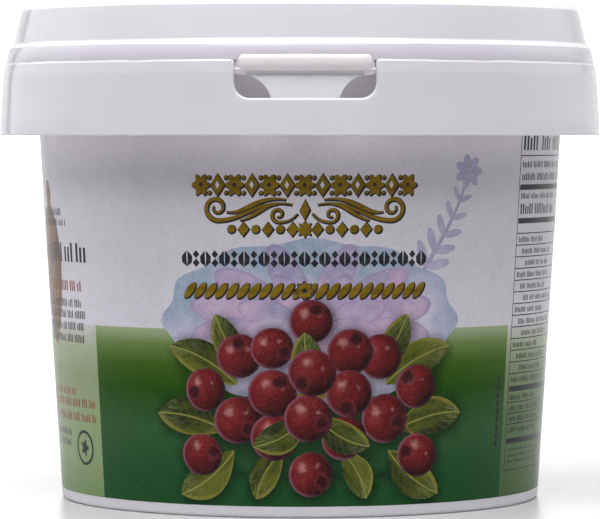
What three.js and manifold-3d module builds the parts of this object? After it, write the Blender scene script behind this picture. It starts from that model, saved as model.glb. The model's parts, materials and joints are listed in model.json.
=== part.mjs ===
// A round preserves tub of white plastic with a press-on lid, a break-away tear tab, a printed
// sleeve label moulded to its wall, and its filling.
// Millimetres, +Z up. The origin is the centre of the foot, and the tear tab faces -Y.

import * as THREE from "three";
import { mergeVertices } from "three/addons/utils/BufferGeometryUtils.js";
import Module from "manifold-3d";

const wasm = await Module();
wasm.setup();

// Driving dimensions.
const HEIGHT = 102; // foot to the top of the lid
const COLLAR_RADIUS = 62.6; // widest point, the collar's lower edge
const FOOT_RADIUS = 49.8; // wall's outer radius at the foot
const TAPER = 0.0622; // growth of the wall's radius per millimetre of height
const WALL = 1.4;
const FLOOR_UNDERSIDE = 1.8; // floor panel's height above the surface the tub stands on
const FLOOR_TOP = 3.2;
const SHELL = 1.2; // thickness of the lid, the collar and its web
const CLEARANCE = 0.3; // between pieces that rest on or in one another
const SEGMENTS = 64; // facets round the tub

// Heights of the collar and the lid above the foot.
const COLLAR_BOTTOM = 75.4;
const COLLAR_TOP = 90.3;
const COLLAR_TOP_RADIUS = 61.4;
const COLLAR_STRAIGHT = 78.3; // up to this height the collar does not narrow
const COLLAR_SHOULDER = 87.8; // above this height the collar rounds inwards to its upper edge
const COLLAR_SHOULDER_RADIUS = 62;
const RIM_TOP = HEIGHT - SHELL - CLEARANCE;
const RIM_RADIUS = 57.2; // outside of the bead round the tub's mouth
const RIM_DEPTH = 3.1; // height of that bead
const LEDGE_HEIGHT = 94.4; // foot of the lid's raised ring
const LEDGE_RADIUS = 59.8;
const RING_BULGE = { radius: 59.05, height: 98 }; // where the raised ring's side curves towards
const LID_TOP_RADIUS = 58.25; // outside of the raised ring below its rounded crown
const CROWN = { width: 0.95, height: 0.95 };
const BEVEL_HEIGHT = 93.3; // lower edge of the bevel round the raised ring's foot
const BEVEL_RADIUS = 60.66;
const SKIRT_BULGE = { radius: 61.2, height: 92.2 }; // where the lid's skirt curves towards
const LID_EDGE_RADIUS = 61.43;
const PANEL_TOP = 96.8; // sunk panel inside the lid's raised ring
const PANEL_DISC_RADIUS = 42; // the panel's middle lies a little lower
const PANEL_DISC_DROP = 0.5;

// The label's sleeve and the window in the collar.
const LABEL_BOTTOM = 2.4;
const LABEL_TOP = 81.4;
const LABEL_THICKNESS = 0.35;
const LABEL_GAP = 0.1;
const LABEL_SEAM = 0.8; // gap where the sleeve's two ends meet
const LABEL_SEAM_TURN = 54.4; // degrees from the back towards the left side, where a side panel ends
const WINDOW_HALF_WIDTH = 13.7;
const WINDOW_BOTTOM = 82.75;
const WINDOW_CORNER = 2.9;

// The filling's level leaves a headspace under the lid. Whole fruit breaks its surface.
const FILL_LEVEL = 85.4;
const FILL_SAG = 0.3; // how much lower the surface lies in the middle
const FILL_EDGE = { width: 1.5, drop: 0.6 }; // slope where the surface meets the wall
const FRUIT_RADIUS = 5;
const FRUIT_COUNT = 18;
const FRUIT_SPREAD = 43;
const FRUIT_DEPTH = 3.2; // of the highest fruits' centres below the surface
const FRUIT_STEP = 0.5; // between the three depths that the fruits lie at

const white = { roughness: 0.42, metalness: 0 };
const tubMaterial = new THREE.MeshStandardMaterial({ color: 0xe6e3ea, ...white });
const lidMaterial = new THREE.MeshStandardMaterial({ color: 0xeceaf0, ...white });
const tabMaterial = new THREE.MeshStandardMaterial({ color: 0xebe6e8, ...white });
const labelMaterial = new THREE.MeshStandardMaterial({ color: 0xd2cfd8, roughness: 0.35, metalness: 0 });
const fillingMaterial = new THREE.MeshStandardMaterial({ color: 0x5c0f16, roughness: 0.2, metalness: 0 });

const point = (radius, height) => new THREE.Vector2(radius, height);
const wallRadius = (height) => FOOT_RADIUS + TAPER * height;
const boreRadius = (height) => wallRadius(height) - WALL;

// Turns a closed geometry into a solid that can be cut and joined.
function solidOf(geometry) {
  geometry.deleteAttribute("normal");
  geometry.deleteAttribute("uv");
  const merged = mergeVertices(geometry, 1e-4);
  const corners = merged.index.array;
  const triVerts = [];
  for (let i = 0; i < corners.length; i += 3) {
    const [a, b, c] = corners.subarray(i, i + 3);
    if (a !== b && b !== c && c !== a) triVerts.push(a, b, c);
  }
  return new wasm.Manifold(new wasm.Mesh({
    numProp: 3,
    vertProperties: new Float32Array(merged.attributes.position.array),
    triVerts: new Uint32Array(triVerts),
  }));
}

// Gives a solid's triangles back as a named mesh.
function meshOf(name, solid, material) {
  const { vertProperties, triVerts } = solid.getMesh();
  const geometry = new THREE.BufferGeometry();
  geometry.setAttribute("position", new THREE.BufferAttribute(vertProperties, 3));
  geometry.setIndex(new THREE.BufferAttribute(triVerts, 1));
  geometry.computeVertexNormals();
  const mesh = new THREE.Mesh(geometry, material);
  mesh.name = name;
  return mesh;
}

// Revolves a profile of (radius, height) points about the tub's axis.
function turned(points) {
  return solidOf(new THREE.LatheGeometry(points, SEGMENTS).rotateX(Math.PI / 2));
}

// Revolves the four-sided section between two radii and two heights.
function ring(inner, outer, bottom, top) {
  return turned([
    point(inner, bottom), point(outer, bottom), point(outer, top), point(inner, top), point(inner, bottom),
  ]);
}

// Pushes an outline of (x, height) through the front half of the tub, along Y.
function throughFront(outline) {
  const depth = COLLAR_RADIUS + 4;
  const geometry = new THREE.ExtrudeGeometry(outline, { depth, bevelEnabled: false, curveSegments: 6 });
  return solidOf(geometry.rotateX(Math.PI / 2));
}

// The tub: sunk floor in a foot ring, tapered wall with a shallow seat for the label, a collar
// that stands out on a web below the mouth, and a rim bead that the lid grips.
function tubProfile() {
  const seat = LABEL_THICKNESS + LABEL_GAP;
  const footCorner = 0.8;
  const footRingInner = 44.4;
  const floorCorner = 2;
  const webTop = COLLAR_TOP - CLEARANCE;
  const webUnder = webTop - SHELL;
  const collarInner = COLLAR_RADIUS - SHELL;
  const innerShoulder = 84.4; // above this height the collar's inside slopes in to the web
  const edge = 0.3; // rounding of the collar's lower edge
  const shoulderBulge = 0.15; // how far the collar's shoulder leans in halfway up
  const lip = 0.6; // bevel at the mouth's inner edge
  const rimCorner = 1;
  const path = new THREE.Path();
  path.moveTo(0, FLOOR_UNDERSIDE);
  path.lineTo(footRingInner - FLOOR_UNDERSIDE, FLOOR_UNDERSIDE);
  path.lineTo(footRingInner, 0);
  path.lineTo(FOOT_RADIUS - footCorner, 0);
  path.absarc(FOOT_RADIUS - footCorner, footCorner, footCorner, -Math.PI / 2, 0, false);
  path.lineTo(wallRadius(LABEL_BOTTOM - LABEL_GAP), LABEL_BOTTOM - LABEL_GAP);
  path.lineTo(wallRadius(LABEL_BOTTOM - LABEL_GAP) - seat, LABEL_BOTTOM - LABEL_GAP);
  path.lineTo(wallRadius(LABEL_TOP + LABEL_GAP) - seat, LABEL_TOP + LABEL_GAP);
  path.lineTo(wallRadius(LABEL_TOP + LABEL_GAP), LABEL_TOP + LABEL_GAP);
  path.lineTo(wallRadius(webUnder), webUnder);
  path.lineTo(COLLAR_TOP_RADIUS - SHELL, webUnder);
  path.lineTo(collarInner - 0.1, innerShoulder);
  path.lineTo(collarInner, COLLAR_BOTTOM + edge);
  path.quadraticCurveTo(collarInner, COLLAR_BOTTOM, collarInner + edge, COLLAR_BOTTOM);
  path.lineTo(COLLAR_RADIUS - edge, COLLAR_BOTTOM);
  path.quadraticCurveTo(COLLAR_RADIUS, COLLAR_BOTTOM, COLLAR_RADIUS, COLLAR_BOTTOM + edge);
  path.lineTo(COLLAR_RADIUS, COLLAR_STRAIGHT);
  path.lineTo(COLLAR_SHOULDER_RADIUS, COLLAR_SHOULDER);
  path.quadraticCurveTo(
    COLLAR_SHOULDER_RADIUS - shoulderBulge, (COLLAR_SHOULDER + COLLAR_TOP) / 2,
    COLLAR_TOP_RADIUS, COLLAR_TOP,
  );
  path.lineTo(COLLAR_TOP_RADIUS - SHELL + CLEARANCE, COLLAR_TOP);
  path.lineTo(COLLAR_TOP_RADIUS - SHELL, webTop);
  path.lineTo(wallRadius(webTop), webTop);
  path.lineTo(wallRadius(RIM_TOP - RIM_DEPTH), RIM_TOP - RIM_DEPTH);
  path.lineTo(RIM_RADIUS, RIM_TOP - RIM_DEPTH + lip);
  path.lineTo(RIM_RADIUS, RIM_TOP - rimCorner);
  path.quadraticCurveTo(RIM_RADIUS, RIM_TOP, RIM_RADIUS - rimCorner, RIM_TOP);
  path.lineTo(boreRadius(RIM_TOP) + lip, RIM_TOP);
  path.lineTo(boreRadius(RIM_TOP - lip), RIM_TOP - lip);
  path.lineTo(boreRadius(FLOOR_TOP + floorCorner), FLOOR_TOP + floorCorner);
  path.quadraticCurveTo(boreRadius(FLOOR_TOP), FLOOR_TOP, boreRadius(FLOOR_TOP) - floorCorner, FLOOR_TOP);
  path.lineTo(0, FLOOR_TOP);
  return path.getPoints(3);
}

// The U-shaped opening in the collar's front, open at the collar's upper edge.
function windowOutline() {
  const outline = new THREE.Shape();
  const above = COLLAR_TOP + 2;
  const inset = WINDOW_HALF_WIDTH - WINDOW_CORNER;
  const cornerHeight = WINDOW_BOTTOM + WINDOW_CORNER;
  outline.moveTo(WINDOW_HALF_WIDTH, above);
  outline.lineTo(-WINDOW_HALF_WIDTH, above);
  outline.lineTo(-WINDOW_HALF_WIDTH, cornerHeight);
  outline.absarc(-inset, cornerHeight, WINDOW_CORNER, Math.PI, Math.PI * 1.5, false);
  outline.absarc(inset, cornerHeight, WINDOW_CORNER, Math.PI * 1.5, Math.PI * 2, false);
  outline.closePath();
  return outline;
}

// The window is cut through the collar and the outer part of the web, clear of the lid's flap.
const FLAP_INNER = 60;
const FLAP_OUTER = 61;

function makeTub() {
  const cutInner = FLAP_INNER - CLEARANCE - 0.1;
  const cutRing = ring(cutInner, COLLAR_RADIUS + 2, WINDOW_BOTTOM - 1, COLLAR_TOP + 1);
  const cut = throughFront(windowOutline()).intersect(cutRing);
  return turned(tubProfile()).subtract(cut);
}

// The lid: sunk panel, plug wall inside the tub's mouth, raised ring over the rim, a ridge that
// grips under the rim bead, and a bevelled skirt that drops to an edge just above the collar.
function lidProfile() {
  const plugOuter = (height) => boreRadius(height) - CLEARANCE;
  const plugInner = (height) => plugOuter(height) - SHELL;
  const roof = HEIGHT - SHELL; // underside of the raised ring
  const corner = 0.8;
  const panelUnder = PANEL_TOP - SHELL;
  const discUnder = panelUnder - PANEL_DISC_DROP;
  const discTop = PANEL_TOP - PANEL_DISC_DROP;
  const discSlope = PANEL_DISC_RADIUS + 3 * PANEL_DISC_DROP;
  const ringInner = RIM_RADIUS + 2 * CLEARANCE;
  const ridgeInner = RIM_RADIUS - CLEARANCE;
  const ridgeHeight = RIM_TOP - RIM_DEPTH - CLEARANCE;
  const edgeBottom = COLLAR_TOP + CLEARANCE;
  const edgeBevel = 0.15;
  const shelf = LEDGE_HEIGHT - SHELL; // underside of the ledge
  const path = new THREE.Path();
  path.moveTo(0, discUnder);
  path.lineTo(PANEL_DISC_RADIUS, discUnder);
  path.lineTo(discSlope, panelUnder);
  path.lineTo(plugOuter(panelUnder) - corner, panelUnder);
  path.lineTo(plugOuter(panelUnder), panelUnder + corner);
  path.lineTo(plugOuter(roof), roof);
  path.lineTo(ringInner - 3 * CLEARANCE, roof);
  path.lineTo(ringInner - CLEARANCE, roof - corner);
  path.lineTo(ringInner, ridgeHeight + corner);
  path.lineTo(ridgeInner, ridgeHeight);
  path.lineTo(ringInner, ridgeHeight - corner);
  path.lineTo(LEDGE_RADIUS - SHELL, shelf + corner);
  path.lineTo(LEDGE_RADIUS, shelf - corner / 2);
  path.lineTo(LID_EDGE_RADIUS - SHELL, shelf - SHELL);
  path.lineTo(LID_EDGE_RADIUS - SHELL, edgeBottom);
  path.lineTo(LID_EDGE_RADIUS - edgeBevel, edgeBottom);
  path.lineTo(LID_EDGE_RADIUS, edgeBottom + edgeBevel);
  path.quadraticCurveTo(SKIRT_BULGE.radius, SKIRT_BULGE.height, BEVEL_RADIUS, BEVEL_HEIGHT);
  path.lineTo(LEDGE_RADIUS, LEDGE_HEIGHT);
  path.quadraticCurveTo(RING_BULGE.radius, RING_BULGE.height, LID_TOP_RADIUS, HEIGHT - CROWN.height);
  path.quadraticCurveTo(LID_TOP_RADIUS, HEIGHT, LID_TOP_RADIUS - CROWN.width, HEIGHT);
  path.lineTo(plugInner(HEIGHT) + corner, HEIGHT);
  path.lineTo(plugInner(HEIGHT), HEIGHT - corner);
  path.lineTo(plugInner(PANEL_TOP), PANEL_TOP + corner);
  path.lineTo(plugInner(PANEL_TOP) - corner, PANEL_TOP);
  path.lineTo(discSlope, PANEL_TOP);
  path.lineTo(PANEL_DISC_RADIUS, discTop);
  path.lineTo(0, discTop);
  return path.getPoints(4);
}

// The lid's front flap hangs behind the window: a shoulder as wide as the window, then a tongue
// whose hollowed sides are quarter ellipses. A groove under the tear tab sets the tongue off.
const TONGUE_TOP = 87.1;
const GROOVE_HEIGHT = 1.5;
const GROOVE_HALF_WIDTH = 11.4;
const GROOVE_DEPTH = 0.5;

function flapOutline() {
  const shoulderHalf = WINDOW_HALF_WIDTH - 0.5;
  const shoulderBottom = TONGUE_TOP;
  const tongueHalf = 6.4;
  const tongueBottom = 80.3;
  const flapTop = BEVEL_HEIGHT - SHELL; // inside the lid's skirt
  const hollowX = 11.9;
  const hollowZ = 80.8;
  const outline = new THREE.Shape();
  outline.moveTo(shoulderHalf, shoulderBottom);
  outline.lineTo(shoulderHalf, flapTop);
  outline.lineTo(-shoulderHalf, flapTop);
  outline.lineTo(-shoulderHalf, shoulderBottom);
  outline.absellipse(-hollowX, hollowZ, hollowX - tongueHalf, shoulderBottom - hollowZ, Math.PI / 2, 0, true);
  outline.lineTo(-tongueHalf, tongueBottom);
  outline.lineTo(tongueHalf, tongueBottom);
  outline.absellipse(hollowX, hollowZ, hollowX - tongueHalf, shoulderBottom - hollowZ, Math.PI, Math.PI / 2, true);
  outline.closePath();
  return outline;
}

function makeLid() {
  const flapRing = ring(FLAP_INNER, FLAP_OUTER, COLLAR_BOTTOM, LEDGE_HEIGHT);
  const grooveInner = FLAP_OUTER - GROOVE_DEPTH;
  const grooveRing = ring(grooveInner, COLLAR_RADIUS, TONGUE_TOP, TONGUE_TOP + GROOVE_HEIGHT);
  const grooveFace = new THREE.Shape();
  grooveFace.moveTo(GROOVE_HALF_WIDTH, COLLAR_BOTTOM);
  grooveFace.lineTo(GROOVE_HALF_WIDTH, HEIGHT);
  grooveFace.lineTo(-GROOVE_HALF_WIDTH, HEIGHT);
  grooveFace.lineTo(-GROOVE_HALF_WIDTH, COLLAR_BOTTOM);
  const groove = throughFront(grooveFace).intersect(grooveRing);
  const flap = throughFront(flapOutline()).intersect(flapRing).subtract(groove);
  return turned(lidProfile()).add(flap);
}

// The tear tab: a bar that bridges the window's mouth in front of the lid's flap and edge, with a
// nib at each end that ties it to the collar until the tub is first opened.
function makeTearTab() {
  const barHalf = WINDOW_HALF_WIDTH - 0.7;
  const barBottom = 88;
  const barTop = 91.2;
  const back = FLAP_OUTER + CLEARANCE;
  const lip = LID_EDGE_RADIUS + CLEARANCE; // the bar's upper part stands in front of the skirt
  const front = COLLAR_RADIUS - 0.2;
  const round = 0.9; // of the bar's front edges
  const bevel = 0.2;
  const section = new THREE.Path();
  section.moveTo(back, barBottom + bevel);
  section.lineTo(back + bevel, barBottom);
  section.lineTo(front - round, barBottom);
  section.quadraticCurveTo(front, barBottom, front, barBottom + round);
  section.lineTo(front, barTop - round);
  section.quadraticCurveTo(front, barTop, lip + bevel, barTop);
  section.lineTo(lip, barTop - bevel);
  section.lineTo(lip, COLLAR_TOP);
  section.lineTo(back, COLLAR_TOP);
  section.closePath();
  const end = 0.9;
  const face = new THREE.Shape();
  face.moveTo(-barHalf + end, barBottom);
  face.absarc(barHalf - end, barBottom + end, end, -Math.PI / 2, 0, false);
  face.absarc(barHalf - end, barTop - end, end, 0, Math.PI / 2, false);
  face.absarc(-barHalf + end, barTop - end, end, Math.PI / 2, Math.PI, false);
  face.absarc(-barHalf + end, barBottom + end, end, Math.PI, Math.PI * 1.5, false);
  let tab = turned(section.getPoints(3)).intersect(throughFront(face));
  const nibReach = WINDOW_HALF_WIDTH - CLEARANCE;
  const nibRoot = barHalf - 0.6;
  const nibDepth = 0.7;
  const nibHeight = 0.6;
  const nibMiddle = -Math.sqrt((COLLAR_TOP_RADIUS + CLEARANCE) ** 2 - nibReach ** 2);
  for (const side of [-1, 1]) {
    const nib = new THREE.BoxGeometry(nibReach - nibRoot, nibDepth, nibHeight);
    nib.translate(side * (nibReach + nibRoot) / 2, nibMiddle, barBottom + nibHeight / 2);
    tab = tab.add(solidOf(nib));
  }
  return tab;
}

// The label: one printed film wrapped round the wall, flush with the foot, its ends almost
// meeting at one side of the back.
function makeLabel() {
  const slitDepth = 20;
  const inner = (height) => wallRadius(height) - LABEL_THICKNESS;
  const sleeve = turned([
    point(inner(LABEL_BOTTOM), LABEL_BOTTOM),
    point(wallRadius(LABEL_BOTTOM), LABEL_BOTTOM),
    point(wallRadius(LABEL_TOP), LABEL_TOP),
    point(inner(LABEL_TOP), LABEL_TOP),
    point(inner(LABEL_BOTTOM), LABEL_BOTTOM),
  ]);
  const slit = new THREE.BoxGeometry(LABEL_SEAM, slitDepth, 2 * HEIGHT);
  slit.translate(0, FOOT_RADIUS, HEIGHT / 2);
  slit.rotateZ(THREE.MathUtils.degToRad(LABEL_SEAM_TURN));
  return sleeve.subtract(solidOf(slit));
}

// The filling: preserves up to the fill level, with whole fruit breaking the surface.
function makeFilling() {
  const bottom = FLOOR_TOP + CLEARANCE;
  const corner = 2.2; // clears the floor's rounded corner
  const side = (height) => boreRadius(height) - CLEARANCE;
  const path = new THREE.Path();
  path.moveTo(0, bottom);
  path.lineTo(side(bottom) - corner, bottom);
  path.quadraticCurveTo(side(bottom), bottom, side(bottom + corner), bottom + corner);
  path.lineTo(side(FILL_LEVEL), FILL_LEVEL);
  path.lineTo(side(FILL_LEVEL) - FILL_EDGE.width, FILL_LEVEL - FILL_EDGE.drop);
  path.lineTo(0, FILL_LEVEL - FILL_SAG);
  let filling = turned(path.getPoints(3));
  const goldenAngle = Math.PI * (3 - Math.sqrt(5));
  for (let i = 0; i < FRUIT_COUNT; i += 1) {
    const spread = FRUIT_SPREAD * Math.sqrt((i + 0.5) / FRUIT_COUNT);
    const turn = i * goldenAngle;
    const depth = FRUIT_DEPTH + (i % 3) * FRUIT_STEP;
    const fruit = new THREE.SphereGeometry(FRUIT_RADIUS, 10, 6);
    fruit.rotateX(Math.PI / 2);
    fruit.translate(spread * Math.cos(turn), spread * Math.sin(turn), FILL_LEVEL - depth);
    filling = filling.add(solidOf(fruit));
  }
  return filling;
}

const tubOfPreserves = new THREE.Group();
tubOfPreserves.add(
  meshOf("tub", makeTub(), tubMaterial),
  meshOf("lid", makeLid(), lidMaterial),
  meshOf("tear_tab", makeTearTab(), tabMaterial),
  meshOf("label", makeLabel(), labelMaterial),
  meshOf("preserves", makeFilling(), fillingMaterial),
);

export default tubOfPreserves;
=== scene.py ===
# A white plastic preserves tub with a press-on lid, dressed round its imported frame.
# Shapes are written in millimetres in the part's own frame and scaled to metres when a mesh is made.
# Angles round the tub are in degrees from the front, positive towards +X.

import json
import math
import random

import bmesh
import bpy
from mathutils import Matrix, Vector, geometry, noise

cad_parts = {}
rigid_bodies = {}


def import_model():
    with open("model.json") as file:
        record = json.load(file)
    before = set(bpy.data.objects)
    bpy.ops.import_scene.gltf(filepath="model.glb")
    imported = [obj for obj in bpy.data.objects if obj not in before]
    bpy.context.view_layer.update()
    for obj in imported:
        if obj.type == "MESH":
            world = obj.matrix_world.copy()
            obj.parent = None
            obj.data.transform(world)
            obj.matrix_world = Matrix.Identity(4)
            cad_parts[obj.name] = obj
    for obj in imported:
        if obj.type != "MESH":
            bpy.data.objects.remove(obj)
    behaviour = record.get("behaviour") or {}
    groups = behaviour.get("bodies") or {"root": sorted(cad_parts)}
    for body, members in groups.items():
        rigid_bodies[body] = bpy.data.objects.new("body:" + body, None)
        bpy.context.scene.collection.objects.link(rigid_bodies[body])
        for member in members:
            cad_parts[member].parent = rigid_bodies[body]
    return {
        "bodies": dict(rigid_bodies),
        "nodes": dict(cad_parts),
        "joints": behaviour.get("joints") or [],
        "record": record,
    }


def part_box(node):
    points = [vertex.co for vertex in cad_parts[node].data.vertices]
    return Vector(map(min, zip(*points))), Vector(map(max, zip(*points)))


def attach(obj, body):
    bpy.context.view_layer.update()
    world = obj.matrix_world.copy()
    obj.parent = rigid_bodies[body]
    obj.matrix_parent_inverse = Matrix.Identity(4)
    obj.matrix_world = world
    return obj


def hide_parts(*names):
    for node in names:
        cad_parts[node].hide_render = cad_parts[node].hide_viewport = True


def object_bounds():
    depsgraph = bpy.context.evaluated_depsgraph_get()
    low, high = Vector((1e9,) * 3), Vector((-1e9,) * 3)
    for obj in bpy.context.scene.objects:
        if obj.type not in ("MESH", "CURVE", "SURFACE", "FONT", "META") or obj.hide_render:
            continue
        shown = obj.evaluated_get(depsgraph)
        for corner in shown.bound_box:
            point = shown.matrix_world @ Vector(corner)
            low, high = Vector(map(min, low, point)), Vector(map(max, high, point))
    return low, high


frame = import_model()
cad_low, cad_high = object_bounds()

MM = 0.001
TURNS = 256  # facets round the smooth pieces

# Driving dimensions, read from the frame or repeated from the part.
HEIGHT = cad_high.z / MM
COLLAR_RADIUS = cad_high.x / MM - 0.01  # a hair inside the part's box
LID_EDGE_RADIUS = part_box("lid")[1].x / MM
LID_EDGE = 90.1  # the lid's edge goes down behind the collar's lip
LABEL_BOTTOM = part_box("label")[0].z / MM
LABEL_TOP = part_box("label")[1].z / MM
FOOT_RADIUS = 49.8
TAPER = 0.0622
WALL = 1.4
SHELL = 1.2
CLEARANCE = 0.3
LABEL_SEAT = 0.45
LABEL_THICKNESS = 0.35
COLLAR_BOTTOM = 75.4
COLLAR_STRAIGHT = 78.3  # up to this height the collar does not narrow
COLLAR_SHOULDER = 87.8
COLLAR_SHOULDER_RADIUS = 62.0
COLLAR_TOP = 90.3
COLLAR_TOP_RADIUS = 61.5
RIM_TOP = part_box("tub")[1].z / MM
RIM_RADIUS = 57.2
WINDOW_HALF = 13.7
WINDOW_BOTTOM = 82.75
WINDOW_CORNER = 2.9
BAR_BOTTOM = 88.0
BAR_TOP = 91.2
FLAP_INNER = 60.0
FLAP_OUTER = 61.0


def wall_radius(height):
    return FOOT_RADIUS + TAPER * height


def bore_radius(height):
    return wall_radius(height) - WALL


# Mesh helpers

def make_object(name, verts, faces, materials=(), smooth=True):
    """A mesh object from points in millimetres."""
    mesh = bpy.data.meshes.new(name)
    mesh.from_pydata([(x * MM, y * MM, z * MM) for x, y, z in verts], [], faces)
    mesh.validate()
    for material in materials:
        mesh.materials.append(material)
    if smooth:
        mesh.shade_smooth()
    obj = bpy.data.objects.new(name, mesh)
    bpy.context.scene.collection.objects.link(obj)
    return obj


def rounded(corners, steps=5):
    """A profile from (radius, height, fillet) corners, each fillet drawn as an arc."""
    points = []
    for i, (r, z, fillet) in enumerate(corners):
        here = Vector((r, z))
        if fillet == 0 or i in (0, len(corners) - 1):
            points.append(here)
            continue
        before = Vector(corners[i - 1][:2]) - here
        after = Vector(corners[i + 1][:2]) - here
        half = before.angle(after) / 2
        reach = min(fillet / math.tan(half), 0.49 * before.length, 0.49 * after.length)
        start = here + before.normalized() * reach
        end = here + after.normalized() * reach
        radius = reach * math.tan(half)
        centre = here + (before.normalized() + after.normalized()).normalized() * (radius / math.sin(half))
        for k in range(steps + 1):
            spoke = (start - centre).slerp(end - centre, k / steps).normalized()
            points.append(centre + spoke * radius)
    return points


def around(radius, degrees, height):
    """The point at an angle from the front."""
    turn = math.radians(degrees)
    return (radius * math.sin(turn), -radius * math.cos(turn), height)


def turned(name, profile, materials=(), warp=None, turns=TURNS):
    """Revolves a profile of (radius, height) points that runs from axis to axis."""
    verts, faces, rings = [], [], []
    for r, z in profile:
        if r < 1e-6:
            rings.append([len(verts)])
            verts.append((0, 0, z))
            continue
        ring = []
        for k in range(turns):
            degrees = 360 * k / turns
            rr, zz = warp(degrees, r, z) if warp else (r, z)
            ring.append(len(verts))
            verts.append(around(rr, degrees, zz))
        rings.append(ring)
    for lower, upper in zip(rings, rings[1:]):
        for k in range(turns):
            nxt = (k + 1) % turns
            if len(lower) == 1:
                faces.append((lower[0], upper[nxt], upper[k]))
            elif len(upper) == 1:
                faces.append((lower[k], lower[nxt], upper[0]))
            else:
                faces.append((lower[k], lower[nxt], upper[nxt], upper[k]))
    return make_object(name, verts, faces, materials)


def swept(name, stations, materials=()):
    """A closed tube through stations, each a ring of the same number of points."""
    count = len(stations[0])
    verts = [p for ring in stations for p in ring]
    faces = []
    for i in range(len(stations) - 1):
        for k in range(count):
            a, b = i * count + k, i * count + (k + 1) % count
            faces.append((a, b, b + count, a + count))
    faces.append(tuple(reversed(range(count))))
    faces.append(tuple(range((len(stations) - 1) * count, len(stations) * count)))
    return make_object(name, verts, faces, materials)


def face_outward(obj):
    mesh = bmesh.new()
    mesh.from_mesh(obj.data)
    bmesh.ops.recalc_face_normals(mesh, faces=mesh.faces)
    mesh.to_mesh(obj.data)
    mesh.free()


def combine(obj, other, operation):
    """Applies a boolean of obj with other, and removes other."""
    modifier = obj.modifiers.new(operation, "BOOLEAN")
    modifier.operation = operation
    modifier.solver = "EXACT"
    modifier.object = other
    apply_modifiers(obj)
    bpy.data.objects.remove(other)


def apply_modifiers(obj):
    depsgraph = bpy.context.evaluated_depsgraph_get()
    shaped = bpy.data.meshes.new_from_object(obj.evaluated_get(depsgraph), depsgraph=depsgraph)
    obj.modifiers.clear()
    old = obj.data
    obj.data = shaped
    bpy.data.meshes.remove(old)


def even_normals(obj, sharp_degrees=35):
    """Smooth shading whose gradients stay in the fillets."""
    for poly in obj.data.polygons:
        poly.use_smooth = True
    obj.data.set_sharp_from_angle(angle=math.radians(sharp_degrees))
    modifier = obj.modifiers.new("even_normals", "WEIGHTED_NORMAL")
    modifier.weight = 80
    modifier.keep_sharp = True
    apply_modifiers(obj)


# Material helpers

class Shader:
    """A short way to write node trees: every call returns the output socket that it makes."""

    def __init__(self, name):
        self.material = bpy.data.materials.new(name)
        self.material.use_nodes = True
        self.tree = self.material.node_tree
        self.tree.nodes.clear()
        output = self.tree.nodes.new("ShaderNodeOutputMaterial")
        self.principled = self.tree.nodes.new("ShaderNodeBsdfPrincipled")
        self.tree.links.new(self.principled.outputs[0], output.inputs["Surface"])

    def put(self, socket, value):
        if isinstance(value, bpy.types.NodeSocket):
            self.tree.links.new(value, socket)
        elif isinstance(value, (tuple, list)) and len(value) == 3 and socket.type == "RGBA":
            socket.default_value = (*value, 1)
        else:
            socket.default_value = value

    def node(self, kind, inputs=(), output=0, **settings):
        made = self.tree.nodes.new("ShaderNode" + kind)
        for key, value in settings.items():
            setattr(made, key, value)
        for key, value in dict(inputs).items():
            self.put(made.inputs[key], value)
        return made.outputs[output]

    def set(self, **inputs):
        for key, value in inputs.items():
            self.put(self.principled.inputs[key.replace("_", " ")], value)

    def place(self):
        return self.node("TexCoord", output="Object")

    def scaled(self, vector, scale):
        return self.node("Mapping", {"Vector": vector, "Scale": scale})

    def noise(self, vector, scale, detail=2, rough=0.5):
        return self.node("TexNoise", {"Vector": vector, "Scale": scale, "Detail": detail, "Roughness": rough})

    def point(self, x, y, z):
        return self.node("CombineXYZ", {"X": x, "Y": y, "Z": z})

    def math(self, operation, a, b=0.0):
        return self.node("Math", {0: a, 1: b}, operation=operation)

    def plus(self, a, b):
        return self.math("ADD", a, b)

    def minus(self, a, b):
        return self.math("SUBTRACT", a, b)

    def times(self, a, b):
        return self.math("MULTIPLY", a, b)

    def length(self, a, b):
        return self.math("SQRT", self.plus(self.math("POWER", a, 2), self.math("POWER", b, 2)))

    def span(self, value, low, high, to_low=0.0, to_high=1.0, smooth=False):
        kind = "SMOOTHSTEP" if smooth else "LINEAR"
        return self.node("MapRange", {
            "Value": value, "From Min": low, "From Max": high, "To Min": to_low, "To Max": to_high,
        }, interpolation_type=kind)

    def mix(self, share, a, b, blend="MIX"):
        return self.node("Mix", {"Factor": share, 6: a, 7: b}, 2, data_type="RGBA", blend_type=blend)

    def ramp(self, value, *stops):
        made = self.tree.nodes.new("ShaderNodeValToRGB")
        elements = made.color_ramp.elements
        while len(elements) > 1:
            elements.remove(elements[-1])
        for i, (at, colour) in enumerate(stops):
            element = elements[0] if i == 0 else elements.new(at)
            element.position = at
            element.color = (*colour, 1)
        self.put(made.inputs[0], value)
        return made.outputs[0]

    def attribute(self, name):
        made = self.tree.nodes.new("ShaderNodeAttribute")
        made.attribute_name = name
        split = self.tree.nodes.new("ShaderNodeSeparateXYZ")
        self.tree.links.new(made.outputs["Vector"], split.inputs[0])
        return split.outputs[0], split.outputs[1], split.outputs[2]

    def bump(self, *layers):
        """Stacks (height, distance in metres) layers of bump."""
        normal = None
        for height, distance in layers:
            inputs = {"Height": height, "Distance": distance, "Strength": 1.0}
            if normal is not None:
                inputs["Normal"] = normal
            normal = self.node("Bump", inputs)
        self.set(Normal=normal)


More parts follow.
